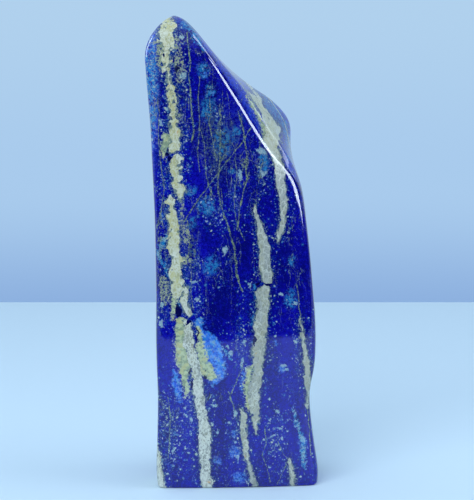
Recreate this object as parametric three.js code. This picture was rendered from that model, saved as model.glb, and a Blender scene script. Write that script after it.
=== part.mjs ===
// A polished freeform tower of lapis lazuli: a sawn block with a flat base, a slanted top and softened edges.
// Millimetres, +Z up. The broad front face looks along -Y, and the origin is the middle of the footprint.
import * as THREE from 'three';
import { LoftGeometry } from 'three/addons/geometries/LoftGeometry.js';

// Driving dimensions
const HEIGHT = 180;
const BASE_ROUND = 1.2;

// The mesh: sections between two stations, points round a softened edge, and the base rim's steps in degrees.
const ROWS_PER_STATION = 3;
const POINTS_PER_EDGE = 5;
const RIM_STEPS = [0, 30, 60];

// The five long edges of the block, counterclockwise as seen from above. Each is a row of points [x, y, z],
// one at each station from the base to the tip. soften is how far the rounding reaches from the edge, at the
// base and at the tip.
const EDGES = {
  frontLeft: {
    soften: [3.2, 3.5],
    points: [
      [-28.5, -22.0, BASE_ROUND], [-28.9, -22.0, 6], [-28.5, -22.0, 18], [-28.2, -22.5, 35.5],
      [-28.5, -22.5, 47], [-28.6, -22.6, 60], [-28.5, -22.6, 78], [-28.8, -22.5, 100],
      [-29.5, -22.4, 122], [-30.2, -22.3, 137], [-31.0, -22.2, 148], [-31.6, -22.0, 154.5],
      [-32.0, -21.6, 160], [-32.4, -20.6, 166], [-31.0, -18.4, 171.6], [-27.6, -14.8, 176.5],
      [-24.6, -11.0, 179.0], [-22.0, -6.8, HEIGHT],
    ],
  },
  frontRight: {
    soften: [3.0, 1.5],
    points: [
      [33.4, -18.2, BASE_ROUND], [33.7, -18.2, 6], [31.9, -18.0, 18], [30.1, -17.5, 35.5],
      [32.1, -17.7, 47], [32.4, -17.7, 60], [31.2, -17.6, 78], [28.9, -17.7, 100],
      [24.9, -18.0, 118.4], [15.6, -18.7, 129.1], [8.2, -19.3, 140.1], [3.7, -19.6, 147.5],
      [-0.6, -19.8, 154.2], [-6.3, -19.4, 163.5], [-11.5, -17.6, 170.8], [-15.8, -14.0, 176.2],
      [-18.6, -10.4, 178.9], [-21.0, -6.6, HEIGHT],
    ],
  },
  shoulder: {
    soften: [4.5, 0.6],
    points: [
      [33.8, -9.0, BASE_ROUND], [34.0, -9.0, 6], [32.2, -9.0, 18], [30.4, -9.0, 35.5],
      [32.5, -9.5, 47], [32.8, -9.5, 60], [31.4, -10.0, 78], [29.1, -11.0, 99],
      [27.0, -12.0, 115.9], [21.0, -13.2, 128.4], [13.8, -14.2, 138.6], [9.2, -14.5, 145.7],
      [4.9, -14.5, 152.3], [-3.3, -13.8, 162.3], [-9.0, -12.0, 169.5], [-14.2, -9.8, 175.7],
      [-17.8, -8.0, 178.8], [-20.8, -6.0, HEIGHT],
    ],
  },
  backRight: {
    soften: [7.0, 4.0],
    points: [
      [30.5, 20.0, BASE_ROUND], [30.8, 20.2, 6], [30.0, 20.5, 18], [29.0, 20.0, 35.5],
      [30.0, 20.0, 47], [30.2, 19.8, 60], [29.0, 19.5, 78], [27.0, 18.5, 100],
      [24.4, 16.5, 119], [24.2, 15.5, 129], [24.5, 14.5, 138.8], [17.0, 13.0, 147.6],
      [8.6, 11.8, 152.9], [0.2, 9.5, 159.2], [-8.2, 6.0, 167.4], [-14.4, 1.8, 174.6],
      [-18.0, -1.6, 178.4], [-20.9, -5.0, HEIGHT],
    ],
  },
  backLeft: {
    soften: [6.0, 4.5],
    points: [
      [-25.5, 19.0, BASE_ROUND], [-25.8, 19.3, 6], [-26.2, 20.0, 18], [-26.5, 20.5, 35.5],
      [-26.8, 20.3, 47], [-27.2, 19.8, 60], [-27.6, 19.0, 78], [-28.0, 17.5, 100],
      [-29.0, 15.5, 122], [-29.6, 14.0, 136], [-30.2, 12.5, 146], [-30.5, 11.5, 152],
      [-30.6, 10.5, 157.5], [-30.2, 9.0, 164], [-28.8, 6.5, 169.8], [-25.9, 3.0, 175.2],
      [-23.6, -1.2, 178.5], [-21.8, -5.2, HEIGHT],
    ],
  },
};

// The face that follows each edge: how many points lie along it, and how far it crowns outwards as a share of
// its width, at the base and at the tip.
const FACES = {
  front: { points: 8, crown: [0.022, 0.022] },
  slant: { points: 2, crown: [0.02, 0.02] },
  right: { points: 5, crown: [0.03, 0.0] },
  back: { points: 8, crown: [0.05, 0.06] },
  left: { points: 6, crown: [0.025, 0.025] },
};

// No rounding takes more than this share of the face beside it, so that two never meet.
const ROUNDING_SHARE = 0.42;

const UP = new THREE.Vector3(0, 0, 1);
const edges = Object.values(EDGES);
const faces = Object.values(FACES);
const stations = EDGES.frontLeft.points.length;

const curves = edges.map((edge) => {
  const points = edge.points.map((p) => new THREE.Vector3(...p));
  return new THREE.CatmullRomCurve3(points, false, 'centripetal');
});

// The point where an edge's rounding starts on the face towards a neighbouring edge.
function roundingStart(corner, neighbour, reach) {
  const share = Math.min(reach / corner.distanceTo(neighbour), ROUNDING_SHARE);
  return corner.clone().lerp(neighbour, share);
}

// The rounding of each edge at height share t, as a curve from the face before it to the face after it.
function roundings(t) {
  const corners = curves.map((curve) => curve.getPoint(t));
  return corners.map((corner, i) => {
    const reach = THREE.MathUtils.lerp(...edges[i].soften, t);
    const before = corners[(i + corners.length - 1) % corners.length];
    const after = corners[(i + 1) % corners.length];
    const enter = roundingStart(corner, before, reach);
    const leave = roundingStart(corner, after, reach);
    return new THREE.QuadraticBezierCurve3(enter, corner, leave);
  });
}

// The gently crowned line across a face, from one rounding to the next.
function crownedLine(face, from, to, t) {
  const along = to.clone().sub(from);
  const crown = THREE.MathUtils.lerp(...face.crown, t) * along.length();
  const outward = along.clone().cross(UP).normalize();
  const middle = from.clone().add(to).multiplyScalar(0.5).addScaledVector(outward, 2 * crown);
  return new THREE.QuadraticBezierCurve3(from, middle, to);
}

// One closed section through the block.
function section(t) {
  const arcs = roundings(t);
  return arcs.flatMap((arc, i) => {
    const next = arcs[(i + 1) % arcs.length];
    const line = crownedLine(faces[i], arc.v2, next.v0, t);
    const between = line.getPoints(faces[i].points + 1).slice(1, -1);
    return [...arc.getPoints(POINTS_PER_EDGE - 1), ...between];
  });
}

// The lowest sections, drawn in towards the middle of the footprint so that the sawn base has a softened rim.
function baseRim(lowest) {
  const middle = new THREE.Vector3();
  lowest.forEach((p) => middle.add(p));
  middle.divideScalar(lowest.length);
  return RIM_STEPS.map((degrees) => {
    const angle = THREE.MathUtils.degToRad(degrees);
    const inset = BASE_ROUND * (1 - Math.sin(angle));
    const rise = BASE_ROUND * (1 - Math.cos(angle));
    return lowest.map((p) => {
      const inward = middle.clone().sub(p).setZ(0).normalize();
      return p.clone().addScaledVector(inward, inset).setZ(rise);
    });
  });
}

function towerGeometry() {
  const rows = (stations - 1) * ROWS_PER_STATION;
  const body = Array.from({ length: rows + 1 }, (_, row) => section(row / rows));
  const geometry = new LoftGeometry([...baseRim(body[0]), ...body], { capStart: true, capEnd: true });
  geometry.computeBoundingBox();
  const middle = geometry.boundingBox.getCenter(new THREE.Vector3());
  geometry.translate(-middle.x, -middle.y, 0);
  return geometry;
}

const lapis = new THREE.MeshStandardMaterial({ color: 0x1a17a0, roughness: 0.12, metalness: 0 });

const tower = new THREE.Mesh(towerGeometry(), lapis);
tower.name = 'lapis_tower';

const group = new THREE.Group();
group.add(tower);

export default group;
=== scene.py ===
"""A polished lapis lazuli tower: deep blue rock with calcite bands, gold-green threads and pale grains."""
import math

import bmesh
import bpy
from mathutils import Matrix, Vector, noise


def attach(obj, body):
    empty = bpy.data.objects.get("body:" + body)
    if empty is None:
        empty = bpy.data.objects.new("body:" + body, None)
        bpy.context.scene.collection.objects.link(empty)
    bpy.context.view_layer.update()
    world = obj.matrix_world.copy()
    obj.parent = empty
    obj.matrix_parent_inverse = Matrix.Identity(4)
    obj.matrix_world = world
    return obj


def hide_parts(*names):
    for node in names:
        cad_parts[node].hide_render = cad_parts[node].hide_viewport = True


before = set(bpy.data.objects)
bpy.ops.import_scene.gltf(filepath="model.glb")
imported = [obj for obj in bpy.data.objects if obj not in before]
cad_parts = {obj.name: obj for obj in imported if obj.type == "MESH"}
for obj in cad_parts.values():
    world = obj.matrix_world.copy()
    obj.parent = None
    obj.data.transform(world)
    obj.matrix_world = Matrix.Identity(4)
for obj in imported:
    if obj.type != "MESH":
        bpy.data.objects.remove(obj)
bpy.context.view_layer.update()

MM = 0.001

# The rock's minerals follow routes up the stone. Each row is (height, left edge, right edge) in millimetres
# as seen from the front, and the mineral runs on through the stone behind it.
CALCITE = {
    "tip": [
        (180, -24.2, -22.3), (176, -26.3, -21.0), (174, -27.5, -22.2), (168, -27.2, -23.0),
        (163.5, -26.9, -23.4), (159.6, -24.9, -23.8), (156, -25.0, -23.0), (152.5, -24.2, -21.9),
        (146.5, -23.8, -21.3), (142, -23.4, -21.3), (139.5, -24.0, -20.4), (135.5, -23.7, -19.3),
        (131, -24.5, -20.2), (129.2, -24.3, -21.0),
    ],
    "neck": [
        (128, -21.7, -20.0), (126, -23.0, -20.0), (124, -24.0, -20.1), (122, -22.9, -20.5),
        (118, -22.5, -19.9), (115.3, -22.2, -17.7), (114, -21.3, -18.6), (111.5, -20.3, -19.4),
    ],
    "flank": [
        (113, -23.7, -22.9), (111.5, -24.6, -22.0), (109.5, -23.8, -22.3), (105.5, -24.7, -21.3),
        (103, -24.4, -21.1), (100.5, -23.7, -20.2), (96, -24.7, -20.2), (91, -23.6, -20.2),
        (89, -23.1, -18.7), (87, -23.4, -19.7), (80, -23.4, -19.0), (77, -23.4, -18.8), (74.5, -23.4, -19.6),
    ],
    "fork_right": [
        (79, -18.9, -17.1), (76, -19.1, -17.1), (73.5, -19.9, -17.3), (70, -18.6, -16.2),
        (67.8, -18.3, -15.6),
    ],
    "foot": [
        (66.2, -18.4, -17.5), (65, -18.4, -15.8), (61, -18.8, -15.7), (56, -18.6, -14.8),
        (51.5, -17.2, -13.6), (46.5, -16.0, -12.2), (38.5, -15.1, -10.9), (32.5, -14.4, -10.7),
        (25, -12.9, -9.2), (20, -13.0, -8.6), (15, -13.2, -9.0), (7, -12.5, -8.6), (0, -12.0, -7.7),
    ],
    "middle_blade": [
        (110, 7.7, 8.1), (105, 8.5, 9.2), (102, 9.0, 10.9), (98, 9.4, 12.4), (94, 9.8, 13.2),
        (86.5, 10.2, 14.4), (84, 10.2, 14.8), (80.5, 11.0, 14.4), (79.6, 12.1, 14.0),
    ],
    "middle_band": [
        (79, 11.6, 13.4), (77.3, 8.7, 13.8), (71, 9.1, 13.6), (65, 8.3, 12.9), (60, 8.4, 12.5),
        (54, 7.2, 12.2), (50, 7.6, 11.8), (46, 8.0, 11.0), (42, 6.9, 10.7), (39, 5.6, 10.3), (35, 5.8, 10.0),
        (29.5, 6.9, 9.9), (26.5, 7.6, 9.6), (21, 8.4, 8.8),
    ],
    "wing": [
        (154.3, 5.4, 6.5), (153, 5.9, 8.2), (151, 7.1, 9.8), (148.5, 8.4, 11.1), (146, 9.8, 12.1),
        (143, 11.5, 13.8), (140, 12.4, 15.4), (137, 12.0, 17.4), (134.3, 11.4, 17.0), (130.2, 13.1, 17.2),
        (126.4, 15.0, 18.4), (123, 15.8, 19.1), (115, 16.9, 19.9), (111.5, 17.3, 20.3), (106, 18.1, 20.3),
        (102, 17.7, 19.6), (99, 17.2, 18.9), (95, 16.6, 17.4),
    ],
    "right_edge": [
        (66, 25.5, 26.0), (60, 25.9, 26.9), (57.4, 26.3, 27.7), (53, 26.7, 28.1), (49, 26.9, 29.1),
        (46.5, 27.3, 29.5), (43, 27.4, 29.7), (38.5, 27.8, 29.5), (35, 28.1, 29.3), (30.5, 28.3, 29.1),
    ],
    "low_blade": [
        (31.3, 2.8, 3.3), (29, 3.0, 5.0), (25, 2.7, 5.0), (22, 2.8, 5.3), (19, 3.4, 5.7), (15, 3.8, 5.7),
        (11, 5.0, 6.1), (8, 5.7, 7.3), (4.5, 6.5, 8.1), (0, 7.4, 9.3),
    ],
    "low_right": [(11, 21.2, 21.5), (9.3, 21.2, 22.3), (7, 21.7, 23.4), (4, 21.7, 23.6), (0, 22.4, 23.7)],
    "low_left": [(17.2, -29.4, -28.8), (13, -29.4, -28.1), (2.6, -29.4, -26.6), (0, -29.2, -25.8)],
}

# Grey-green and straw coloured calcite, softer edged, beside and between the bands
SAGE = {
    "tip_lobe": [(136.5, -26.0, -24.4), (135, -26.7, -23.7), (131, -26.8, -24.3), (127.8, -27.0, -25.1)],
    "fork_left": [(75.5, -23.5, -20.1), (72, -23.5, -21.0), (69, -23.5, -21.8), (65.5, -23.7, -22.8)],
    "foot_green": [
        (66.3, -21.7, -18.2), (63.8, -22.1, -17.9), (56, -22.5, -17.7), (51.5, -22.1, -16.4),
        (48.5, -21.5, -15.8), (44.6, -20.2, -16.6), (42, -19.7, -17.3), (38.5, -18.5, -16.6),
        (35.4, -18.2, -17.2),
    ],
    "foot_blotch": [
        (63.6, -14.1, -12.5), (61.3, -14.0, -11.4), (58, -13.6, -11.6), (54, -13.8, -10.4),
        (49.5, -13.6, -8.8), (46.4, -13.2, -6.6), (43.8, -11.0, -5.9), (42.6, -9.4, -7.4),
    ],
    "middle_straw": [
        (48.5, 6.6, 8.2), (45.5, 4.6, 7.6), (42.5, 4.4, 7.0), (39, 4.0, 6.2), (35.5, 4.4, 6.4),
        (32.5, 4.6, 6.8), (30, 5.6, 6.6),
    ],
    "slope": [
        (151, 4.4, 5.4), (148.5, 5.4, 7.0), (146.5, 6.6, 8.4), (144, 8.0, 9.8), (141, 9.2, 11.4),
        (138.5, 10.2, 12.6), (136, 11.0, 14.0),
    ],
}

# The same, broken into flecks
FLECKED = {
    "tip_side": [(171, -28.6, -27.0), (167, -28.2, -26.6), (163, -28.0, -26.4), (160, -27.2, -26.0)],
    "tip_fringe": [
        (172, -22.0, -20.4), (168, -21.6, -19.6), (163, -21.4, -18.4), (158.5, -21.0, -17.8),
        (155.5, -20.2, -18.8),
    ],
    "tip_stain": [(146.5, -21.6, -20.0), (144, -21.8, -19.4), (141.5, -21.4, -20.0)],
    "neck_thread": [(112.4, -20.2, -19.5), (109, -19.6, -18.9), (106, -19.4, -18.7), (102.5, -19.6, -18.4)],
    "flank_arm": [(102.5, -21.4, -18.9), (100, -20.6, -16.6), (97.5, -19.0, -16.2), (95.5, -17.8, -16.8)],
    "flank_spur": [(90.4, -18.4, -16.2), (89, -19.6, -15.9), (87.4, -19.4, -17.2)],
    "flank_shard": [(82, -27.4, -25.2), (79, -27.6, -24.6), (75, -27.2, -24.2), (72, -26.6, -24.8)],
    "fork_stain": [(79, -19.6, -18.2), (76, -18.8, -16.6), (73, -18.4, -17.0)],
    "wing_fringe": [
        (161, -1.6, -0.4), (158, 0.6, 2.0), (155, 3.2, 4.6), (152, 5.0, 6.4), (148.5, 7.4, 8.6),
    ],
}

# Painted light: the slanted faces painted a clear, bright blue, as if lit from above
TOP_LIT_SLANT = {
    "slant": [
        (174, -15, -8), (165, -8, -1), (155, -1, 9), (147, 4, 17), (140, 8, 26), (133, 12, 27),
        (126, 18.5, 27), (118, 24.5, 28),
    ],
}

# Teal and light blue lapis, and a painted reflection: the light blue patch on the crown stands for the sky
# seen in the rounded tip
WING_TEAL_AND_CROWN_REFLECTION = {
    "strip": [
        (153, 8.6, 10.4), (149, 11.0, 13.0), (145, 12.8, 15.4), (141, 14.6, 18.4), (137, 17.4, 21.0),
        (132, 19.8, 23.0), (126, 20.6, 23.0),
    ],
    # Painted reflection of the sky on the rounded crown
    "crown_sky_reflection": [(178.5, -18.5, -16.0), (176, -17.6, -14.6), (173, -15.8, -13.0), (169, -13.0, -11.0)],
}
AZURE = {
    "wedge": [
        (66.5, -14.2, -11.0), (64.5, -14.8, -10.6), (62, -14.4, -10.2), (60, -13.8, -6.8), (57, -13.0, -4.4),
        (52.5, -12.4, -2.7), (47.6, -12.4, -2.1), (44, -10.6, -2.6), (42.8, -9.6, -4.6), (40, -8.4, -6.6),
    ],
    "pocket": [(47, -23.2, -21.8), (43, -23.6, -20.0), (38, -22.6, -18.8), (34, -21.4, -19.2)],
}

# Pale, icy streaks
ICE_STREAKS = {
    "low_slip": [(31, 22.6, 23.2), (27, 23.4, 24.6), (23, 24.2, 25.6), (20.5, 24.8, 26.4)],
    "low_streak": [
        (21.5, 25.4, 26.6), (18.6, 25.0, 27.6), (16.5, 26.2, 27.8), (14.2, 25.6, 28.0), (10.5, 26.0, 28.2),
        (7.0, 27.0, 28.2),
    ],
    "left_slip": [
        (93, -29.4, -28.0), (90.5, -28.9, -27.2), (87.5, -27.4, -25.6), (84.5, -25.7, -24.2),
        (82, -24.4, -23.2),
    ],
    "left_knot": [(98.5, -25.5, -24.0), (96.5, -27.0, -24.6), (94.5, -28.0, -25.6), (93, -27.6, -26.4)],
    "right_slip": [(56, -4.2, -3.4), (54, -3.6, -2.0), (52, -2.0, -0.4), (50.5, -0.8, 0.2)],
}

# Threads of pyrite and calcite: half width, then rows of (height, place) in millimetres
THREADS = {
    "left": (
        0.34,
        [
            (174, -17.2), (165.6, -16.3), (162, -15.6), (158.5, -16.4), (148, -15.6), (137.3, -14.7),
            (133, -15.4),
        ],
    ),
    "long": (
        0.31,
        [
            (145, -4.9), (131, -4.7), (120.4, -5.5), (115, -5.6), (110.2, -4.7), (106.8, -3.6), (100.2, -1.4),
        ],
    ),
    "long_foot": (
        0.53,
        [
            (106, -3.6), (103, -2.4), (96.6, -0.4), (91.6, 0.8), (86, 1.2), (82.8, 1.5), (79.4, 2.3),
            (76.3, 3.6),
        ],
    ),
    "right": (
        0.38,
        [
            (145.2, 1.9), (137.7, 3.8), (126.8, 5.3), (123, 4.9), (119, 5.3), (114.8, 4.0), (108.7, 2.6),
            (100, 1.5),
        ],
    ),
    "diagonal": (
        0.34,
        [(139, 7.0), (132.4, 3.0), (128.8, 0), (123.8, -4.1), (115.9, -9.8), (110.8, -13.9), (103, -18.4)],
    ),
    "short_left": (0.22, [(138, -12.2), (133.4, -10.8), (121.6, -10.1), (115, -8.8)]),
    "short_middle": (0.26, [(150, -8.8), (144, -8.2), (140.7, -9.0), (133.2, -7.4), (126, -6.2)]),
    "edge": (0.22, [(79, 24.0), (74.4, 24.9), (69.4, 25.3), (64, 25.8)]),
    "outer_left": (
        0.20,
        [(150, -28.2), (143, -27.4), (136, -27.9), (127, -27.2), (116, -25.8), (106, -27.0)],
    ),
    "inner_left": (0.22, [(104, -17.2), (97, -16.4), (90, -16.9), (84, -15.6), (78, -15.9), (70, -15.2)]),
    "hair_left": (0.20, [(158, -12.4), (150, -12.9), (141, -12.4), (130, -13.2), (122, -12.6)]),
    "hair_right": (0.19, [(128, 0.6), (120, 1.4), (112, 0.4), (104, 0.9), (96, 4.4)]),
    "low_pair": (0.26, [(48.5, 4.0), (42, 1.4), (36, -1.4), (31, 0.6), (27, 1.5)]),
    "low_hair": (0.22, [(38, -1.8), (34, -0.4), (30, 0.8)]),
    "low_cross": (0.20, [(24, 12.2), (17, 12.8), (13, 11.0), (9, 12.6), (2, 14.4)]),
    "low_left": (0.26, [(36, -24.8), (28, -23.9), (20, -24.4), (12, -24.8)]),
    "foot_right": (0.20, [(18, 17.2), (13, 19.4), (10.5, 21.2), (6, 19.2), (1, 17.0)]),
    "edge_foot": (0.24, [(30, 28.6), (22, 29.4), (12, 29.9)]),
}

# Patches on the front: (across, height, half width, half height)
TEAL_PATCHES = [
    (-30.6, 158, 3.2, 14.0), (-30.6, 141, 2.6, 7.0), (-11.0, 160, 2.6, 3.2), (-8.5, 152, 2.0, 3.4),
    (-9.6, 145.5, 3.2, 4.6), (-10.0, 109.3, 3.8, 3.6), (-8.4, 86.5, 3.2, 4.0), (1.0, 122.6, 2.8, 1.3),
    (-4.0, 133.5, 4.0, 5.4), (1.2, 136.2, 2.0, 3.0), (-16.0, 115, 2.6, 2.2), (-15.6, 103, 1.8, 2.0),
    (22.0, 73, 2.6, 4.0), (22.0, 88, 1.6, 2.4), (11.5, 125.5, 2.4, 4.0), (-11, 167.5, 1.2, 1.4),
    (-17.6, 177, 2.6, 2.6), (-20.0, 73.5, 0.9, 3.0), (8.2, 76.0, 0.9, 5.0), (7.4, 66.0, 0.9, 3.0),
]
SKY_PATCHES = [
    (-26.4, 105.5, 1.3, 1.2), (4.4, 44.6, 1.6, 3.0), (3.2, 39.8, 1.4, 2.2), (1.0, 14, 2.6, 3.0),
    (-5.8, 10.6, 2.2, 2.0), (2.6, 4.2, 2.8, 2.6), (16.2, 56.8, 1.3, 1.3), (18.4, 46.4, 2.0, 1.6),
    (0.6, 21.2, 1.2, 2.6), (27.0, 17.6, 1.6, 1.8), (-19.4, 48, 1.1, 1.2), (-14.4, 64.6, 1.8, 1.0),
    (-31.0, 131.5, 1.4, 3.0), (-9.4, 109.8, 1.4, 1.6), (-10.6, 158.6, 1.2, 1.4), (-7.8, 151, 0.8, 1.6),
]
PALE_PATCHES = [
    (-24.6, 145.6, 0.9, 1.1), (-26.5, 139.6, 0.8, 0.9), (-30.3, 134.3, 0.8, 0.9),
    (-26.4, 141.0, 0.9, 1.3), (-19.6, 172.2, 1.3, 1.2), (-18.4, 158.2, 1.2, 2.6),
    (-3.0, 92.3, 1.5, 2.3), (-2.2, 55.6, 1.0, 1.1), (-1.2, 53.2, 1.0, 1.7), (19.2, 47.6, 1.3, 0.9),
    (19.8, 46.0, 1.2, 0.6), (15.8, 59.8, 1.2, 0.8), (6.6, 78.6, 0.9, 1.2), (23.8, 71.4, 1.2, 1.1),
    (18.0, 74.8, 1.5, 1.0), (0.4, 29.2, 0.9, 2.4), (-1.0, 25.8, 1.0, 0.9), (2.0, 11.6, 1.0, 2.0),
    (1.2, 18.0, 0.8, 0.8), (-18.4, 31.6, 1.0, 0.8), (-17.8, 28.6, 0.9, 1.2), (-15.8, 27.0, 0.8, 1.4),
    (-17.0, 14.0, 1.1, 0.8), (-22.8, 15.4, 0.8, 1.4), (-29.0, 35.6, 0.6, 1.5), (-27.0, 64.6, 1.1, 2.2),
    (-26.4, 71.5, 1.1, 1.6), (-31.2, 131.2, 0.7, 2.0), (2.9, 120.6, 1.2, 2.4), (11.6, 121.4, 2.0, 1.3),
    (10.8, 129.5, 2.4, 1.4), (-14.8, 80.6, 1.1, 0.6), (-14.0, 74.0, 1.8, 1.0), (4.0, 57.0, 1.2, 0.9),
    (3.2, 49.5, 0.9, 2.6), (-6.8, 33.0, 1.6, 0.6), (-8.0, 25.0, 0.7, 0.9), (-5.6, 22.6, 0.7, 0.9),
    (-9.4, 36.0, 0.8, 1.6), (11.8, 19.0, 0.9, 0.9), (17.2, 29.4, 1.0, 0.9), (18.0, 23.4, 1.0, 0.9),
    (18.6, 19.2, 0.8, 1.4), (15.2, 20.0, 1.2, 0.6), (24.0, 56.6, 0.7, 1.3), (13.8, 8.4, 0.8, 0.6),
]

# Inky breaks and pits beside the calcite
DARK_PATCHES = [
    (-17.2, 65.2, 1.3, 1.1), (-24.8, 128.6, 1.4, 0.7), (-23.6, 127.2, 1.1, 1.3), (-13.7, 60.0, 0.4, 4.2),
    (9.6, 79.4, 1.2, 0.8), (13.4, 79.2, 1.2, 0.7), (-20.4, 70.0, 1.3, 3.0), (-25.2, 165.4, 0.5, 0.7),
    (-16.6, 45.8, 0.5, 1.6), (-15.6, 40.8, 0.5, 2.0), (-10.4, 43.8, 0.9, 0.7), (-24.0, 130.4, 0.6, 0.6),
    (-10.7, 45.8, 0.4, 0.5), (-9.6, 36.2, 0.4, 3.0), (8.2, 57.6, 0.6, 2.0), (-21.0, 160.6, 0.8, 1.6),
]

# Broad fields: of darker rock, of olive dust with many fine threads, and of crowded pale grains
NIGHT_PATCHES = [
    (16.0, 84, 11.0, 22.0), (-6.0, 72, 7.0, 12.0), (2.0, 94, 6.0, 9.0), (-19.0, 162, 4.0, 12.0),
]
WEB_FIELDS = [(-5.0, 133, 8.0, 13.0), (-15.5, 92, 3.0, 12.0)]
SPECK_FIELDS = [
    (12.0, 123, 4.0, 9.0), (-16.8, 124, 1.8, 3.0), (-13.6, 71, 3.6, 7.0), (-26.6, 68, 3.6, 7.0),
    (-24.0, 20, 7.0, 18.0), (-16.0, 25, 3.0, 9.0), (2.4, 54, 3.0, 13.0), (16.2, 20, 5.0, 12.0),
    (-11.0, 13, 4.0, 7.0),
    (-5.6, 142, 2.2, 6.0), (-6.0, 106, 6.5, 7.0), (-19.0, 157, 3.6, 12.0), (0.0, 20, 3.0, 8.0),
    (-25.5, 119, 4.0, 8.0), (-14.5, 84, 3.0, 9.0), (24.6, 52, 1.6, 9.0), (8.0, 148, 1.5, 4.0),
    (0.5, 112, 3.0, 10.0), (-9.0, 35, 3.0, 5.0), (14.0, 90, 1.5, 12.0),
]

# Linear colours of the minerals, one blue also used as painted light on the slanted faces
NAVY = (0.001, 0.002, 0.120, 1)
ULTRAMARINE = (0.003, 0.002, 0.300, 1)
ROYAL = (0.005, 0.006, 0.420, 1)
# A clear blue of the rock, and also the blue rock as lit from above, painted on the slanted faces
CLEAR_AND_TOP_LIT_BLUE = (0.024, 0.070, 0.640, 1)
DUSTY_BLUE = (0.016, 0.062, 0.330, 1)
TEAL = (0.006, 0.115, 0.340, 1)
SKY = (0.018, 0.220, 0.500, 1)
AZURE_DEEP = (0.012, 0.105, 0.600, 1)
AZURE_PALE = (0.060, 0.260, 0.740, 1)
SAGE_DARK = (0.200, 0.275, 0.190, 1)
SAGE_LIGHT = (0.430, 0.520, 0.330, 1)
OLIVE = (0.060, 0.112, 0.080, 1)
THREAD_LIGHT = (0.290, 0.400, 0.250, 1)
CREAM = (0.390, 0.425, 0.285, 1)
CHALK = (0.620, 0.690, 0.640, 1)
STRAW = (0.450, 0.460, 0.230, 1)
PALE_GREY = (0.265, 0.310, 0.305, 1)
STONE_GREY = (0.165, 0.190, 0.165, 1)
WARM_GREY = (0.235, 0.255, 0.150, 1)
RUST = (0.500, 0.320, 0.140, 1)
ICE_GRAIN = (0.130, 0.320, 0.470, 1)
WHITE_GRAIN = (0.420, 0.530, 0.470, 1)
INK = (0.001, 0.002, 0.045, 1)
ICE = (0.250, 0.460, 0.500, 1)

# Curve nodes work from 0 to 1, so heights and places are scaled to that. A route's end tapers to nothing over
# a short way, unless it is the base or the tip.
ROUTE_HEIGHT = 200.0
ROUTE_SPAN = 80.0
END_TAPER = 0.9
TIP_END = 179
FAR_OUTSIDE = -50.0

# How many grains of calcite lie in a millimetre, and how far the light blue wedge's swirls lean
CRACKLE_SCALE = 0.52
SWIRL_LEAN = math.radians(35)


class Tree:
    """Adds and joins the nodes of one shader tree."""

    def __init__(self, tree):
        self.tree = tree

    def node(self, kind, **settings):
        made = self.tree.nodes.new("ShaderNode" + kind)
        for name, value in settings.items():
            setattr(made, name, value)
        return made

    def feed(self, socket, value):
        if isinstance(value, bpy.types.NodeSocket):
            self.tree.links.new(value, socket)
        else:
            socket.default_value = value

    def math(self, operation, *values):
        made = self.node("Math", operation=operation)
        for socket, value in zip(made.inputs, values):
            self.feed(socket, value)
        return made.outputs[0]

    def vector(self, operation, *values):
        made = self.node("VectorMath", operation=operation)
        for socket, value in zip(made.inputs, values):
            self.feed(socket, value)
        return made.outputs["Value" if operation in ("LENGTH", "DOT_PRODUCT") else "Vector"]

    def scale(self, place, factor):
        made = self.node("VectorMath", operation="SCALE")
        self.feed(made.inputs[0], place)
        self.feed(made.inputs["Scale"], factor)
        return made.outputs["Vector"]

    def split(self, place):
        made = self.node("SeparateXYZ")
        self.feed(made.inputs[0], place)
        return made.outputs

    def parts(self, colour):
        """The three channels of a colour."""
        made = self.node("SeparateColor")
        self.feed(made.inputs[0], colour)
        return made.outputs

    def span(self, value, low, high, to_low=0.0, to_high=1.0):
        """Eases from to_low to to_high while value goes from low to high."""
        made = self.node("MapRange", interpolation_type="SMOOTHSTEP")
        for socket, given in zip(made.inputs, (value, low, high, to_low, to_high)):
            self.feed(socket, given)
        return made.outputs[0]

    def most(self, values):
        result = values[0]
        for value in values[1:]:
            result = self.math("MAXIMUM", result, value)
        return result

    def mix(self, share, under, over):
        made = self.node("Mix", data_type="RGBA")
        self.feed(made.inputs["Factor"], share)
        self.feed(made.inputs[6], under)
        self.feed(made.inputs[7], over)
        return made.outputs[2]

    def noise(self, place, scale, detail=2.0, roughness=0.5, distortion=0.0):
        made = self.node("TexNoise")
        self.feed(made.inputs["Vector"], place)
        self.feed(made.inputs["Scale"], scale)
        made.inputs["Detail"].default_value = detail
        made.inputs["Roughness"].default_value = roughness
        made.inputs["Distortion"].default_value = distortion
        return made.outputs

    def wander(self, place, scale, reach, detail=1.0):
        """An offset that changes slowly over the stone, up to about half of reach each way."""
        centred = self.vector("SUBTRACT", self.noise(place, scale, detail)["Color"], (0.5, 0.5, 0.5))
        return self.vector("MULTIPLY", centred, reach)

    def group(self, tree, **inputs):
        made = self.node("Group", node_tree=tree)
        for name, value in inputs.items():
            self.feed(made.inputs[name.replace("_", " ")], value)
        return made.outputs


def new_group(name, inputs, outputs):
    """A shader node group with named sockets: its tree helper, its given sockets and its output sockets."""
    tree = bpy.data.node_groups.new(name, "ShaderNodeTree")
    for label, kind in inputs.items():
        tree.interface.new_socket(label, in_out="INPUT", socket_type="NodeSocket" + kind)
    for label, kind in outputs.items():
        tree.interface.new_socket(label, in_out="OUTPUT", socket_type="NodeSocket" + kind)
    enter = tree.nodes.new("NodeGroupInput")
    leave = tree.nodes.new("NodeGroupOutput")
    return Tree(tree), enter.outputs, leave.inputs


def thread_group():
    """A thin mineral thread beside a centre line, broken into grains."""
    t, given, out = new_group(
        "thread",
        {"Across": "Float", "Centre": "Float", "Width": "Float", "Break": "Float"},
        {"Mask": "Float"},
    )
    away = t.math("ABSOLUTE", t.math("SUBTRACT", given["Across"], given["Centre"]))
    half = t.math("MULTIPLY", given["Width"], t.span(given["Break"], 0.36, 0.60, 0.10, 0.85))
    t.feed(out["Mask"], t.span(t.math("SUBTRACT", half, away), -0.16, 0.10))
    return t.tree


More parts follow.
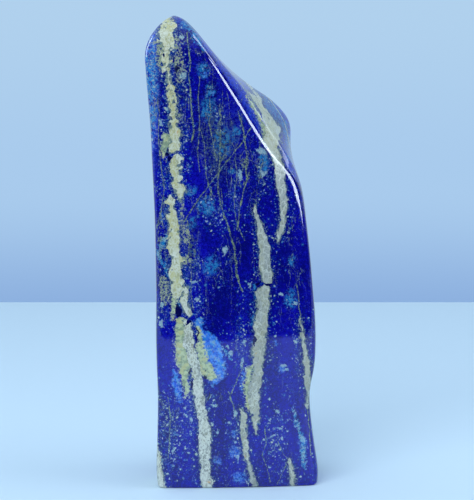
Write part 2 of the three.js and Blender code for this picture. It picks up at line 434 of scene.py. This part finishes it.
def patch_group():
    """A patch at one place as seen from the front, from 1 at its middle to 0 at its rim."""
    t, given, out = new_group(
        "patch", {"Place": "Vector", "Middle": "Vector", "Reach": "Vector"}, {"Mask": "Float"}
    )
    offset = t.vector("SUBTRACT", given["Place"], given["Middle"])
    away = t.vector("LENGTH", t.vector("DIVIDE", offset, given["Reach"]))
    t.feed(out["Mask"], t.span(away, 1.5, 0.1))
    return t.tree


def grains_group():
    """Small separate grains of uneven size, and the share of each that is chosen at random."""
    t, given, out = new_group(
        "grains",
        {"Place": "Vector", "Spacing": "Float", "Size": "Float", "Density": "Float"},
        {"Mask": "Float", "Glow": "Float", "Dice": "Float"},
    )
    place = t.vector("ADD", given["Place"], t.wander(given["Place"], 1.3, (1.3, 1.3, 1.3), 2.0))
    cells = t.node("TexVoronoi", feature="F1")
    t.feed(cells.inputs["Vector"], place)
    t.feed(cells.inputs["Scale"], t.math("DIVIDE", 1.0, given["Spacing"]))
    away = t.math("MULTIPLY", cells.outputs["Distance"], given["Spacing"])
    size, chance, tone = t.parts(cells.outputs["Color"])
    radius = t.math("MULTIPLY", given["Size"], t.span(size, 0.0, 1.0, 0.4, 1.2))
    shown = t.math("LESS_THAN", chance, given["Density"])
    inside = t.math("SUBTRACT", radius, away)
    t.feed(out["Mask"], t.math("MULTIPLY", t.span(inside, -0.10, 0.08), shown))
    t.feed(out["Glow"], t.math("MULTIPLY", t.span(inside, -0.55, 0.0), shown))
    t.feed(out["Dice"], tone)
    return t.tree


def crackle_group():
    """The broken, sugary look of calcite: its tone, and the bright joints between its grains."""
    t, given, out = new_group("crackle", {"Place": "Vector"}, {"Tone": "Float", "Joint": "Float"})
    bent = t.vector("ADD", given["Place"], t.wander(given["Place"], 0.8, (1.6, 1.6, 1.6)))
    drawn = t.vector("MULTIPLY", bent, (1.0, 1.0, 0.55))
    cells = t.node("TexVoronoi", feature="DISTANCE_TO_EDGE")
    t.feed(cells.inputs["Vector"], drawn)
    cells.inputs["Scale"].default_value = CRACKLE_SCALE
    facets = t.node("TexVoronoi", feature="F1")
    t.feed(facets.inputs["Vector"], drawn)
    facets.inputs["Scale"].default_value = CRACKLE_SCALE
    sugar = t.noise(drawn, 1.7, 3.0, 0.65)["Fac"]
    flat, bright, _ = t.parts(facets.outputs["Color"])
    facet = t.span(flat, 0.0, 1.0, 0.36, 0.64)
    t.feed(out["Tone"], t.math("ADD", t.math("MULTIPLY", sugar, 0.75), t.math("MULTIPLY", facet, 0.25)))
    joint = t.span(cells.outputs["Distance"], 0.01, 0.11, 1.0, 0.0)
    t.feed(out["Joint"], t.math("MULTIPLY", joint, t.span(bright, 0.25, 0.75, 0.15, 1.0)))
    return t.tree


def set_curve(curve, points):
    """Lays straight stretches through (height, place) points, from the base upwards."""
    rows = sorted((height / ROUTE_HEIGHT, place / ROUTE_SPAN + 0.5) for height, place in points)
    while len(curve.points) < len(rows):
        curve.points.new(0.5, 0.5)
    for point, row in zip(curve.points, rows):
        point.location = row
        point.handle_type = "VECTOR"


class Rock:
    """The stone's body as the minerals see it: where a point lies, and the grain that they share."""

    def __init__(self, tree):
        self.t = t = Tree(tree)
        self.place = t.scale(t.node("TexCoord").outputs["Object"], 1.0 / MM)
        depth = t.split(self.place)[1]
        self.back = t.span(depth, 3.0, 20.0)
        self.mottle = t.noise(self.place, 0.75, 4.0, 0.65)["Fac"]
        uneven = t.math("ADD", depth, t.math("MULTIPLY", t.math("SUBTRACT", self.mottle, 0.5), 26.0))
        self.front = t.span(uneven, -7.0, -14.0)
        aside, _, up = t.split(self.place)
        right_lean = t.math("MULTIPLY", t.span(aside, 14.0, 28.0), t.span(up, 120.0, 100.0))
        lean = t.math("SUBTRACT", t.span(aside, -14.0, -26.0), right_lean)
        lean = t.math("MULTIPLY", lean, t.span(depth, -18.0, 18.0, 0.0, 15.0))
        sideways = t.node("CombineXYZ")
        t.feed(sideways.inputs[0], lean)
        drift = t.vector("ADD", t.wander(self.place, 0.030, (46.0, 0.0, 60.0)), (3.0, 0.0, 6.0))
        side = t.scale(t.wander(self.place, 0.055, (7.0, 0.0, 14.0)), t.span(depth, -19.0, -2.0))
        ragged = t.wander(self.place, 0.34, (2.2, 0.0, 2.2), 1.5)
        bent = t.vector("ADD", self.place, t.scale(drift, self.back))
        bent = t.vector("ADD", t.vector("ADD", bent, side), sideways.outputs[0])
        self.calm = t.vector("ADD", bent, t.scale(ragged, 0.4))
        self.across, _, height = t.split(t.vector("ADD", bent, ragged))
        self.height = t.math("DIVIDE", height, ROUTE_HEIGHT)
        warped = t.vector("ADD", self.place, t.wander(self.place, 0.30, (3.6, 0.0, 3.6), 3.0))
        self.warped = t.vector("MULTIPLY", warped, (1.0, 0.0, 1.0))
        self.streaked = t.vector("MULTIPLY", self.place, (1.0, 1.0, 0.36))
        turned = t.node("VectorRotate", rotation_type="Y_AXIS")
        t.feed(turned.inputs["Vector"], self.place)
        turned.inputs["Angle"].default_value = SWIRL_LEAN
        self.slanted = t.vector("MULTIPLY", turned.outputs[0], (1.0, 1.0, 0.25))
        self.broad = t.noise(self.streaked, 0.085, 3.0, 0.55)["Fac"]
        self.fine = t.noise(self.place, 1.2, 3.0, 0.68)["Fac"]
        self.dust = t.noise(self.place, 2.6, 2.0, 0.7)["Fac"]
        self.zones = t.parts(t.noise(self.streaked, 0.14, 2.0)["Color"])
        self.grit = t.math("MULTIPLY", t.math("ADD", self.fine, self.dust), 0.5)
        self.upper = t.span(self.height, 0.33, 0.42)
        self.left = t.span(self.across, -13.0, -17.0)
        self.lobes = t.math("SUBTRACT", t.noise(self.elsewhere(11.0, 5.0, 17.0), 0.42, 1.5, 0.5)["Fac"], 0.5)

    def elsewhere(self, *offset):
        return self.t.vector("ADD", self.place, offset)

    def frayed(self, depth, reach):
        """A depth with the rock's fine grain added, up to about half of reach each way."""
        t = self.t
        grain = t.math("SUBTRACT", self.fine, 0.5)
        return t.math("ADD", depth, t.math("MULTIPLY", grain, reach))

    def route_values(self, curves, height):
        """Up to three places that follow the height, in millimetres, from one curve node."""
        t = self.t
        node = t.node("RGBCurve")
        node.mapping.use_clip = False
        for curve, points in zip(node.mapping.curves, curves):
            set_curve(curve, points)
        node.mapping.update()
        feed = t.node("CombineColor")
        for socket in feed.inputs:
            t.feed(socket, height)
        t.feed(node.inputs["Color"], feed.outputs[0])
        parts = t.parts(node.outputs[0])
        return [t.math("MULTIPLY_ADD", part, ROUTE_SPAN, -0.5 * ROUTE_SPAN) for part, _ in zip(parts, curves)]

    def inside(self, routes):
        """How far a place lies inside the nearest route, in millimetres, below zero outside them all."""
        t = self.t
        depth = FAR_OUTSIDE
        for rows in routes.values():
            left = [(z, a) for z, a, _ in rows]
            right = [(z, b) for z, _, b in rows]
            for (z, a, b), step in ((rows[0], END_TAPER), (rows[-1], -END_TAPER)):
                if 0 < z < TIP_END:
                    left.append((z + step, (a + b) / 2 + 1.0))
                    right.append((z + step, (a + b) / 2 - 1.0))
            low, high = self.route_values((left, right), self.height)
            from_left = t.math("SUBTRACT", self.across, low)
            inward = t.math("MINIMUM", from_left, t.math("SUBTRACT", high, self.across))
            depth = t.math("MAXIMUM", inward, depth)
        return depth

    def patches(self, group, rows):
        t = self.t
        share = 0.0
        for x, z, wide, tall in rows:
            mask = t.group(group, Place=self.warped, Middle=(x, 0.0, z), Reach=(wide, 1.0, tall))["Mask"]
            share = t.math("MAXIMUM", mask, share)
        return t.math("MULTIPLY", share, self.front)

    def threads(self, group):
        t = self.t
        share = 0.0
        named = list(THREADS.values())
        broken = t.noise(self.place, 0.70, 3.0, 0.6)["Fac"]
        across, _, height = t.split(self.calm)
        height = t.math("DIVIDE", height, ROUTE_HEIGHT)
        for start in range(0, len(named), 3):
            three = named[start:start + 3]
            centres = self.route_values([rows for _, rows in three], height)
            for centre, (width, rows) in zip(centres, three):
                mask = t.group(group, Across=across, Centre=centre, Width=width, Break=broken)["Mask"]
                heights = [z for z, _ in rows]
                above = t.math("GREATER_THAN", height, min(heights) / ROUTE_HEIGHT)
                below = t.math("LESS_THAN", height, max(heights) / ROUTE_HEIGHT)
                mask = t.math("MULTIPLY", mask, t.math("MULTIPLY", above, below))
                share = t.math("MAXIMUM", mask, share)
        return share


def blue_rock(rock):
    """Blue rock, darker and lighter in long clouds, with a fine dull dust, and painted light: a clearer,
    brighter blue on the slanted faces, as if lit from above.
    """
    t = rock.t
    body = t.mix(t.span(rock.broad, 0.34, 0.62), NAVY, ULTRAMARINE)
    body = t.mix(t.span(rock.mottle, 0.50, 0.66, 0.0, 0.55), body, ROYAL)
    body = t.mix(t.span(rock.mottle, 0.47, 0.32, 0.0, 0.70), body, NAVY)
    # Painted light: the slanted faces get a brighter blue, as if lit from above
    clear = t.span(rock.inside(TOP_LIT_SLANT), -0.6, 0.8)
    clear = t.math("MULTIPLY", clear, t.span(rock.mottle, 0.34, 0.56, 0.35, 1.0))
    body = t.mix(clear, body, CLEAR_AND_TOP_LIT_BLUE)
    body = t.mix(t.span(rock.grit, 0.50, 0.58, 0.0, 0.70), body, ROYAL)
    body = t.mix(t.span(rock.grit, 0.49, 0.41, 0.0, t.span(rock.height, 0.42, 0.55, 0.65, 0.95)), body, NAVY)
    zone = t.span(rock.zones[0], 0.46, 0.62, 0.05, 0.65)
    return t.mix(t.math("MULTIPLY", t.span(rock.dust, 0.54, 0.68), zone), body, DUSTY_BLUE)


def light_blue(rock, body, patch):
    """Teal and sky blue clouds, the pockets of light blue lapis, and a teal to sky blue patch on the crown
    painted as a reflection of the sky.
    """
    t = rock.t
    night = rock.patches(patch, NIGHT_PATCHES)
    night = t.math("MULTIPLY", night, t.span(rock.mottle, 0.60, 0.42, 0.35, 0.85))
    body = t.mix(night, body, NAVY)
    stray = t.span(t.noise(rock.streaked, 0.15, 2.0, 0.5, 0.6)["Fac"], 0.60, 0.74)
    stray = t.math("MULTIPLY", stray, t.math("SUBTRACT", 1.0, rock.front))
    # The wing's teal strip, and on the crown a painted reflection of the sky
    wing = t.span(rock.frayed(rock.inside(WING_TEAL_AND_CROWN_REFLECTION), 6.0), -1.0, 1.0)
    teal = t.most([rock.patches(patch, TEAL_PATCHES), stray, wing])
    flecks = t.math("MULTIPLY", teal, t.span(rock.dust, 0.56, 0.64))
    rim = t.span(t.split(rock.place)[0], -26.5, -30.0)
    rim = t.math("MULTIPLY", rim, t.span(rock.height, 0.60, 0.72))
    body = t.mix(t.math("MULTIPLY", rim, t.span(rock.mottle, 0.38, 0.54, 0.2, 0.9)), body, CLEAR_AND_TOP_LIT_BLUE)
    body = t.mix(t.math("MULTIPLY", rim, t.span(rock.mottle, 0.46, 0.36, 0.0, 0.85)), body, ULTRAMARINE)
    teal = t.math("MULTIPLY", teal, t.span(rock.mottle, 0.36, 0.58, 0.05, 1.25))
    tone = t.math("ADD", rock.mottle, t.math("MULTIPLY", t.math("MAXIMUM", rim, wing), 0.08))
    body = t.mix(t.span(teal, 0.05, 1.0, 0.0, 0.80), body, t.mix(t.span(tone, 0.42, 0.64), TEAL, SKY))
    body = t.mix(t.math("MULTIPLY", flecks, t.span(rim, 0.0, 1.0, 0.25, 0.55)), body, SAGE_LIGHT)
    body = t.mix(t.math("MULTIPLY", rim, t.span(rock.fine, 0.54, 0.61, 0.0, 0.65)), body, SAGE_LIGHT)
    sky = t.math("MULTIPLY", rock.patches(patch, SKY_PATCHES), t.span(rock.mottle, 0.34, 0.58, 0.0, 1.3))
    azure = t.span(rock.frayed(rock.inside(AZURE), 6.5), -0.4, 1.6)
    azure = t.math("MAXIMUM", azure, t.span(sky, 0.15, 1.0, 0.0, 0.75))
    azure = t.math("MULTIPLY", azure, t.span(rock.fine, 0.32, 0.48, 0.50, 1.0))
    streaks = t.noise(rock.slanted, 0.80, 3.0, 0.6)["Fac"]
    colour = t.mix(t.span(streaks, 0.38, 0.66), AZURE_DEEP, AZURE_PALE)
    colour = t.mix(t.span(rock.lobes, -0.02, -0.12, 0.0, 0.65), colour, SKY)
    colour = t.mix(t.span(rock.mottle, 0.50, 0.62, 0.0, 0.30), colour, SAGE_LIGHT)
    colour = t.mix(t.math("MULTIPLY", t.span(rock.mottle, 0.47, 0.36), 0.6), colour, ROYAL)
    return t.mix(azure, body, colour)


def thread_web(rock, body, group, patch):
    """Named threads, and a web of finer ones in some zones. Gives the colour and the threads' mask."""
    t = rock.t
    named = rock.threads(group)
    tall = t.noise(t.vector("MULTIPLY", rock.place, (1.0, 1.0, 0.20)), 0.24, 3.0, 0.55, 0.5)["Fac"]
    tall = t.span(t.math("ABSOLUTE", t.math("SUBTRACT", tall, 0.5)), 0.013, 0.003)
    cross = t.noise(rock.elsewhere(40.0, 10.0, 20.0), 0.14, 3.0, 0.6, 0.8)["Fac"]
    cross = t.span(t.math("ABSOLUTE", t.math("SUBTRACT", cross, 0.5)), 0.007, 0.001)
    field = rock.patches(patch, WEB_FIELDS)
    zone = t.math("MAXIMUM", t.span(rock.zones[1], 0.45, 0.60), field)
    body = t.mix(t.math("MULTIPLY", field, t.span(rock.mottle, 0.56, 0.42, 0.10, 0.70)), body, NAVY)
    body = t.mix(t.math("MULTIPLY", field, t.span(rock.fine, 0.49, 0.58, 0.0, 0.75)), body, OLIVE)
    web = t.math("MULTIPLY", t.math("MAXIMUM", tall, t.math("MULTIPLY", cross, 0.7)), zone)
    web = t.math("MULTIPLY", web, t.span(rock.dust, 0.40, 0.58))
    web = t.math("MULTIPLY", web, t.span(rock.height, 0.36, 0.50, 0.25, 1.0))
    rim = t.math("MAXIMUM", named, web)
    body = t.mix(t.math("MULTIPLY", t.span(rim, 0.0, 0.5), 0.5), body, NAVY)
    shown = t.math("MAXIMUM", t.math("MULTIPLY", named, t.span(rock.grit, 0.43, 0.54, 0.22, 1.0)), web)
    colour = t.mix(t.span(rock.dust, 0.42, 0.58), OLIVE, THREAD_LIGHT)
    return t.mix(shown, body, colour), shown


def pale_grains(rock, body, group, patch, calcite_depth):
    """Pale grains, scattered thinly and crowded in some fields and near the calcite."""
    t = rock.t
    fields = rock.patches(patch, SPECK_FIELDS)
    stray = t.math("MULTIPLY", t.span(rock.zones[2], 0.50, 0.66), 0.05)
    near = t.math("MULTIPLY", t.span(calcite_depth, -4.5, -0.5), t.span(rock.left, 0.0, 1.0, 0.13, 0.34))
    density = t.math("ADD", t.most([t.math("MULTIPLY", fields, 0.25), stray, near]), 0.006)
    coarse = t.group(group, Place=rock.place, Spacing=1.0, Size=0.34, Density=density)
    small = t.group(
        group, Place=rock.elsewhere(7.0, 3.0, 5.0), Spacing=0.55, Size=0.21,
        Density=t.math("MULTIPLY", density, 1.9),
    )
    glow = t.math("MAXIMUM", coarse["Glow"], t.math("MULTIPLY", small["Glow"], 0.6))
    body = t.mix(t.math("MULTIPLY", glow, 0.35), body, TEAL)
    colour = t.mix(t.span(coarse["Dice"], 0.3, 0.7), ICE_GRAIN, WHITE_GRAIN)
    colour = t.mix(t.span(rock.zones[0], 0.50, 0.60, 0.0, 0.7), colour, SAGE_LIGHT)
    bright = t.math("MULTIPLY", coarse["Mask"], t.span(coarse["Dice"], 0.0, 1.0, 0.35, 1.0))
    dim = t.math("MULTIPLY", small["Mask"], t.span(small["Dice"], 0.0, 1.0, 0.25, 0.8))
    shown = t.math("MULTIPLY", t.math("MAXIMUM", bright, dim), t.span(rock.dust, 0.25, 0.50, 0.45, 0.95))
    return t.mix(shown, body, colour)


def sage_calcite(rock, body, patch):
    """Grey-green and straw coloured calcite, whole and in flecks, with icy streaks and small pale patches."""
    t = rock.t
    sage = t.span(rock.frayed(rock.inside(SAGE), 6.0), -0.35, 0.75)
    sage = t.math("MULTIPLY", sage, t.span(rock.grit, 0.36, 0.46, 0.60, 1.0))
    colour = t.mix(t.span(rock.mottle, 0.38, 0.60), SAGE_DARK, SAGE_LIGHT)
    colour = t.mix(t.math("MULTIPLY", t.span(rock.lobes, 0.02, 0.12), 0.7), colour, STRAW)
    body = t.mix(sage, body, colour)
    flecked = t.span(rock.frayed(rock.inside(FLECKED), 5.5), -0.5, 0.6)
    flecked = t.math("MULTIPLY", flecked, t.span(rock.fine, 0.47, 0.53, 0.04, 0.92))
    body = t.mix(flecked, body, t.mix(t.span(rock.dust, 0.45, 0.60), SAGE_DARK, CREAM))
    icy = t.span(rock.frayed(rock.inside(ICE_STREAKS), 5.0), -0.2, 0.5)
    icy = t.math("MULTIPLY", icy, t.span(rock.dust, 0.40, 0.54, 0.25, 0.90))
    body = t.mix(icy, body, t.mix(t.span(rock.mottle, 0.44, 0.56), SKY, ICE))
    pale = t.span(rock.frayed(rock.patches(patch, PALE_PATCHES), 1.8), 0.45, 0.85)
    colour = t.mix(t.span(rock.dust, 0.40, 0.60), ICE_GRAIN, WHITE_GRAIN)
    return t.mix(t.math("MULTIPLY", pale, 0.8), body, colour)


def calcite_colour(rock, group):
    """The calcite's own colours: cream and chalky on the left, greyer on the right, with bright joints."""
    t = rock.t
    crackle = t.group(group, Place=rock.place)
    tone, joint = crackle["Tone"], crackle["Joint"]
    high = t.span(rock.height, 0.60, 0.68)
    warm = t.math("MAXIMUM", t.math("MULTIPLY", rock.upper, rock.left), t.math("MULTIPLY", high, 0.5))
    slope = t.math("MULTIPLY", high, t.math("SUBTRACT", 1.0, rock.left))
    tone = t.math("ADD", tone, t.math("MULTIPLY", slope, 0.06))
    colour = t.mix(warm, PALE_GREY, CREAM)
    colour = t.mix(t.span(tone, 0.49, 0.38, 0.0, 0.62), colour, t.mix(warm, STONE_GREY, WARM_GREY))
    foot = t.span(rock.across, -3.0, -7.0)
    chalky = t.span(t.math("MAXIMUM", foot, slope), 0.0, 1.0, 0.14, 0.70)
    colour = t.mix(t.math("MULTIPLY", t.span(tone, 0.455, 0.54), chalky), colour, CHALK)
    stain = t.span(rock.zones[1], 0.40, 0.56)
    stain = t.math("MULTIPLY", stain, t.span(rock.mottle, 0.38, 0.60, 0.2, 0.9))
    colour = t.mix(t.math("MULTIPLY", stain, t.span(warm, 0.0, 1.0, 0.30, 1.0)), colour, STRAW)
    colour = t.mix(t.math("MULTIPLY", joint, 0.55), colour, CHALK)
    rust = t.span(t.noise(rock.elsewhere(0.0, 0.0, 30.0), 0.30, 2.0)["Fac"], 0.71, 0.76)
    return t.mix(t.math("MULTIPLY", rust, 0.7), colour, RUST)


def calcite_bands(rock, patch):
    """How deep a place lies in the calcite, and the mask of the inky breaks in it.

    The front's bands follow their routes, and only the sides and back show further ones.
    """
    t = rock.t
    depth = rock.inside(CALCITE)
    wild = t.noise(t.vector("MULTIPLY", rock.place, (1.0, 1.0, 0.30)), 0.060, 2.0, 0.5, 0.4)["Fac"]
    wild = t.math("SUBTRACT", 0.022, t.math("ABSOLUTE", t.math("SUBTRACT", wild, 0.47)))
    wild = t.math("MULTIPLY", wild, 50.0)
    wild = t.math("SUBTRACT", wild, t.math("MULTIPLY", t.span(t.split(rock.place)[1], 2.0, -8.0), 8.0))
    depth = t.math("MAXIMUM", depth, wild)
    dark = t.span(rock.patches(patch, DARK_PATCHES), 0.35, 0.60)
    return t.math("SUBTRACT", depth, t.math("MULTIPLY", dark, 6.0)), dark


def calcite_edges(rock, depth):
    """That depth with two outlines: the calcite's frayed fringe, and its own lobed edge with some gaps."""
    t = rock.t
    fringe = rock.frayed(depth, t.span(rock.left, 0.0, 1.0, 4.5, 6.5))
    lobed = t.span(t.math("MULTIPLY", rock.upper, rock.left), 0.0, 1.0, 2.2, 6.5)
    edge = t.math("ADD", depth, t.math("MULTIPLY", rock.lobes, lobed))
    edge = rock.frayed(edge, t.span(rock.left, 0.0, 1.0, 0.6, 1.2))
    gaps = t.math("MULTIPLY", t.span(rock.mottle, 0.42, 0.34), t.span(rock.height, 0.66, 0.76))
    return fringe, t.math("SUBTRACT", edge, t.math("MULTIPLY", gaps, 3.0))


# Roughness of the polished blue rock and of the softer calcite, how metallic the threads are, the stone's
# refractive index, the height in millimetres of the polish's faint waves and of the cuts between grains of
# calcite, and how strongly both show
ROCK_ROUGHNESS = 0.045
CALCITE_ROUGHNESS = 0.20
THREAD_METAL = 0.25
STONE_IOR = 1.52
POLISH_WAVES = 0.07
CALCITE_CUTS = 0.05
RELIEF_STRENGTH = 0.35


def polish(rock, colour, solid, threads):
    """The polished surface, with the fine relief that polishing leaves in the softer calcite."""
    t = rock.t
    waves = t.math("MULTIPLY", t.noise(rock.place, 0.10, 1.0)["Fac"], POLISH_WAVES)
    cuts = t.math("SUBTRACT", t.math("MULTIPLY", rock.dust, CALCITE_CUTS), 0.4 * CALCITE_CUTS)
    bump = t.node("Bump")
    bump.inputs["Strength"].default_value = RELIEF_STRENGTH
    bump.inputs["Distance"].default_value = MM
    t.feed(bump.inputs["Height"], t.math("ADD", waves, t.math("MULTIPLY", solid, cuts)))
    shader = t.node("BsdfPrincipled")
    t.feed(shader.inputs["Base Color"], colour)
    t.feed(shader.inputs["Roughness"], t.span(solid, 0.0, 1.0, ROCK_ROUGHNESS, CALCITE_ROUGHNESS))
    t.feed(shader.inputs["Metallic"], t.math("MULTIPLY", threads, THREAD_METAL))
    t.feed(shader.inputs["Normal"], bump.outputs[0])
    shader.inputs["IOR"].default_value = STONE_IOR
    t.feed(t.node("OutputMaterial").inputs["Surface"], shader.outputs[0])


def lapis_material():
    """Lapis lazuli, polished: blue rock, calcite bands, light blue lapis, pyrite threads and pale grains."""
    material = bpy.data.materials.new("polished_lapis")
    material.use_nodes = True
    material.node_tree.nodes.clear()
    rock = Rock(material.node_tree)
    t = rock.t
    patch, grains = patch_group(), grains_group()
    depth, dark = calcite_bands(rock, patch)
    fringe, edge = calcite_edges(rock, depth)
    body = blue_rock(rock)
    body = light_blue(rock, body, patch)
    body = t.mix(t.span(depth, -2.4, -0.2, 0.0, 0.60), body, NAVY)
    body, threads = thread_web(rock, body, thread_group(), patch)
    body = pale_grains(rock, body, grains, patch, depth)
    body = sage_calcite(rock, body, patch)
    body = t.mix(t.span(fringe, -0.6, 0.3, 0.0, 0.65), body, SAGE_DARK)
    body = t.mix(t.math("MULTIPLY", dark, 0.92), body, INK)
    calcite = calcite_colour(rock, crackle_group())
    band = t.span(edge, -0.12, 0.22)
    pits = t.group(grains, Place=rock.elsewhere(2.0, 9.0, 4.0), Spacing=2.1, Size=0.42, Density=0.14)["Mask"]
    solid = t.math("MULTIPLY", band, t.math("SUBTRACT", 1.0, t.math("MULTIPLY", pits, 0.85)))
    polish(rock, t.mix(solid, body, calcite), solid, threads)
    return material


# Hand polishing leaves slow waves on the faces: how high they are, the lengths of the two that add up, and
# how far above the base they start. Triangles that lie flat and square enough are joined before smoothing.
WAVE_HEIGHT = 0.13 * MM
WAVE_LONG = 24 * MM
WAVE_SHORT = 11 * MM
WAVE_START = 4 * MM
WELD = 0.002 * MM
FLAT_ENOUGH = math.radians(25)
SQUARE_ENOUGH = math.radians(60)


def stone_piece(material):
    """The stone's own skin: the block made smooth, with the slow waves of hand polishing."""
    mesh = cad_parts["lapis_tower"].data.copy()
    mesh.name = "lapis_stone"
    work = bmesh.new()
    work.from_mesh(mesh)
    bmesh.ops.remove_doubles(work, verts=work.verts, dist=WELD)
    bmesh.ops.join_triangles(
        work, faces=work.faces, angle_face_threshold=FLAT_ENOUGH, angle_shape_threshold=SQUARE_ENOUGH
    )
    bmesh.ops.recalc_face_normals(work, faces=work.faces)
    for face in work.faces:
        face.smooth = True
    for vert in work.verts:
        if vert.co.z > WAVE_START:
            wave = noise.noise(vert.co / WAVE_LONG) + 0.3 * noise.noise(vert.co / WAVE_SHORT)
            vert.co += vert.normal * wave * WAVE_HEIGHT
    work.to_mesh(mesh)
    work.free()
    piece = bpy.data.objects.new("lapis_stone", mesh)
    bpy.context.scene.collection.objects.link(piece)
    piece.data.materials.clear()
    piece.data.materials.append(material)
    smooth = piece.modifiers.new("smooth", "SUBSURF")
    smooth.levels = 2
    smooth.render_levels = 2
    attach(piece, "root")
    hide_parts("lapis_tower")


# The table top under the stone: its near and far edges and how far it reaches to each side, in metres, and
# its colour and finish
TABLE_NEAR = -0.31
TABLE_FAR = 0.40
TABLE_SIDE = 1.1
TABLE_COLOUR = (0.58, 0.735, 0.85, 1)
TABLE_ROUGHNESS = 0.7
TABLE_SHEEN = 0.2


def table():
    """A plain pale table top."""
    work = bmesh.new()
    bmesh.ops.create_grid(work, x_segments=1, y_segments=1, size=1.0)
    for vert in work.verts:
        vert.co = Vector((vert.co.x * TABLE_SIDE, TABLE_FAR if vert.co.y > 0 else TABLE_NEAR, 0.0))
    mesh = bpy.data.meshes.new("table")
    work.to_mesh(mesh)
    work.free()
    top = bpy.data.objects.new("table", mesh)
    bpy.context.scene.collection.objects.link(top)
    material = bpy.data.materials.new("pale_table")
    material.use_nodes = True
    shader = material.node_tree.nodes["Principled BSDF"]
    shader.inputs["Base Color"].default_value = TABLE_COLOUR
    shader.inputs["Roughness"].default_value = TABLE_ROUGHNESS
    shader.inputs["Specular IOR Level"].default_value = TABLE_SHEEN
    top.data.materials.append(material)


# The backdrop as the camera sees it, from behind the table's edge upwards, and the sky that lights the stone
BACKDROP_LOW = (0.245, 0.410, 0.720, 1)
BACKDROP_MIDDLE = (0.395, 0.595, 0.845, 1)
BACKDROP_HIGH = (0.435, 0.635, 0.850, 1)
SKY_DARK = (0.010, 0.012, 0.030, 1)
SKY_LIGHT = (0.46, 0.62, 0.80, 1)


def room():
    """A plain pale backdrop behind the stone, and a soft sky that lights it from behind and above."""
    world = bpy.data.worlds.new("pale_room")
    bpy.context.scene.world = world
    world.use_nodes = True
    world.node_tree.nodes.clear()
    t = Tree(world.node_tree)
    _, away, rise = t.split(t.node("TexCoord").outputs["Generated"])
    seen = t.mix(t.span(rise, -0.19, -0.10), BACKDROP_LOW, BACKDROP_MIDDLE)
    seen = t.mix(t.span(rise, -0.10, 0.01), seen, BACKDROP_HIGH)
    lit = t.math("MAXIMUM", t.span(away, 0.0, 0.45), t.span(rise, 0.55, 0.80))
    sky = t.mix(lit, SKY_DARK, SKY_LIGHT)
    shown = t.mix(t.node("LightPath").outputs["Is Camera Ray"], sky, seen)
    glow = t.node("Background")
    t.feed(glow.inputs["Color"], shown)
    t.feed(t.node("OutputWorld").inputs["Surface"], glow.outputs[0])


FROST = (0.80, 0.92, 1.0)
COOL = (0.90, 0.96, 1.0)
LIGHT_AIM = Vector((0.0, 0.0, 0.09))

# Softboxes: name, place, width and height, watts, colour, and whether only the stone's polish or only its
# colour shows them
LIGHTS = [
    ("edge", (0.66, -0.88, 0.40), (0.52, 0.75), 23.0, FROST, "polish"),
    ("edge_high", (0.58, -0.24, 1.00), (0.60, 0.60), 9.0, FROST, "polish"),
    ("ridge", (0.91, 0.59, 0.52), (0.28, 0.22), 0.6, FROST, "polish"),
    ("edge_left", (-0.95, 0.10, 0.72), (0.25, 0.90), 10.0, FROST, "polish"),
    ("front_fill", (-0.45, -0.95, 0.55), (0.9, 0.9), 11.0, COOL, "colour"),
    ("slant_fill", (0.85, -0.10, 0.75), (0.8, 0.8), 4.0, COOL, "colour"),
    ("top", (-0.25, -0.10, 1.1), (0.9, 0.7), 3.0, COOL, "colour"),
]


def soft_light(name, place, size, power, colour, shows_in):
    """A softbox that faces the middle of the stone."""
    data = bpy.data.lights.new(name, "AREA")
    data.shape = "RECTANGLE"
    data.size, data.size_y = size
    data.energy = power
    data.color = colour
    lamp = bpy.data.objects.new(name, data)
    lamp.location = place
    lamp.rotation_euler = (LIGHT_AIM - Vector(place)).to_track_quat("-Z", "Y").to_euler()
    lamp.visible_glossy = shows_in == "polish"
    lamp.visible_diffuse = shows_in == "colour"
    bpy.context.scene.collection.objects.link(lamp)


# The camera stands in front of the stone, a little above it
CAMERA_DISTANCE = 0.660
CAMERA_RISE = math.radians(8.0)
CAMERA_AIM = Vector((0.0015, 0.0, 0.0895))
CAMERA_LENS = 121.9
SENSOR_WIDTH = 36.0


def camera():
    data = bpy.data.cameras.new("camera")
    data.sensor_width = SENSOR_WIDTH
    data.lens = CAMERA_LENS
    eye = bpy.data.objects.new("camera", data)
    back = Vector((0.0, -math.cos(CAMERA_RISE), math.sin(CAMERA_RISE)))
    eye.location = CAMERA_AIM + back * CAMERA_DISTANCE
    eye.rotation_euler = (-back).to_track_quat("-Z", "Y").to_euler()
    bpy.context.scene.collection.objects.link(eye)
    bpy.context.scene.camera = eye


camera()
bpy.context.scene.view_settings.view_transform = "Standard"
room()
for light in LIGHTS:
    soft_light(*light)
table()
stone_piece(lapis_material())
